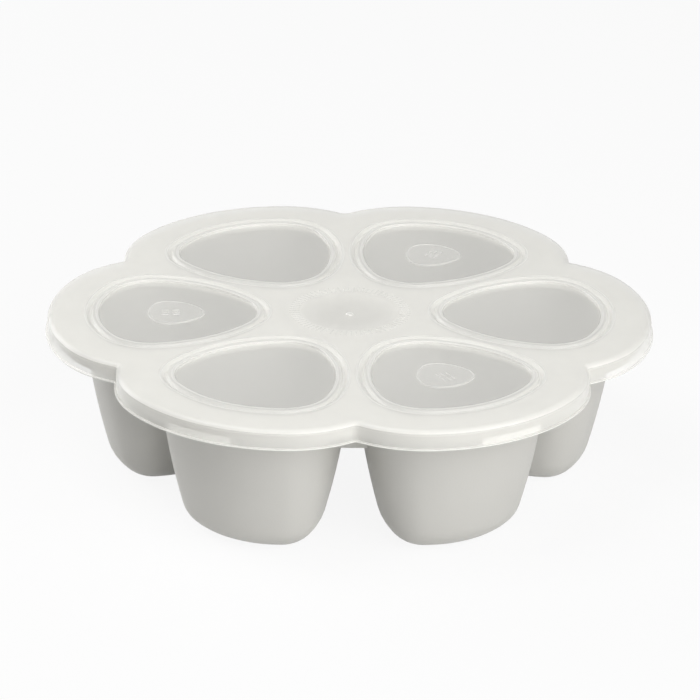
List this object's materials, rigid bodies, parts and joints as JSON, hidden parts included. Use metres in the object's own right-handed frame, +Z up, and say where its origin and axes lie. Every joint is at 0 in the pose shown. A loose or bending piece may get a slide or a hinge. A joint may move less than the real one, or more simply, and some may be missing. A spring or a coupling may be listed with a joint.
{
  "type": "silicone freezer tray",
  "caption": "Flower-shaped soft silicone tray with a ring of drop-shaped cups for freezing portions of food, closed by a lift-off milky lid with clear windows.",
  "frame": {"origin": "middle of the tray on the table, under the cups' flat feet", "axes": "+Z up, +X along a lobe, so that two lobes lie on X and a notch between lobes on each side of Y"},
  "size_m": [0.214, 0.2022, 0.057],
  "materials": {
    "silicone": "satin light grey silicone",
    "lid_plastic": "milky translucent polypropylene with clear windows"
  },
  "bodies": {
    "tray": {"silicone_tray": "silicone"},
    "lid": {"lid": "lid_plastic"}
  },
  "joints": [
    {"name": "lid_lift", "type": "slide", "parent": "tray", "child": "lid", "axis": [0, 0, 1], "range_m": [0, 0.08]}
  ]
}
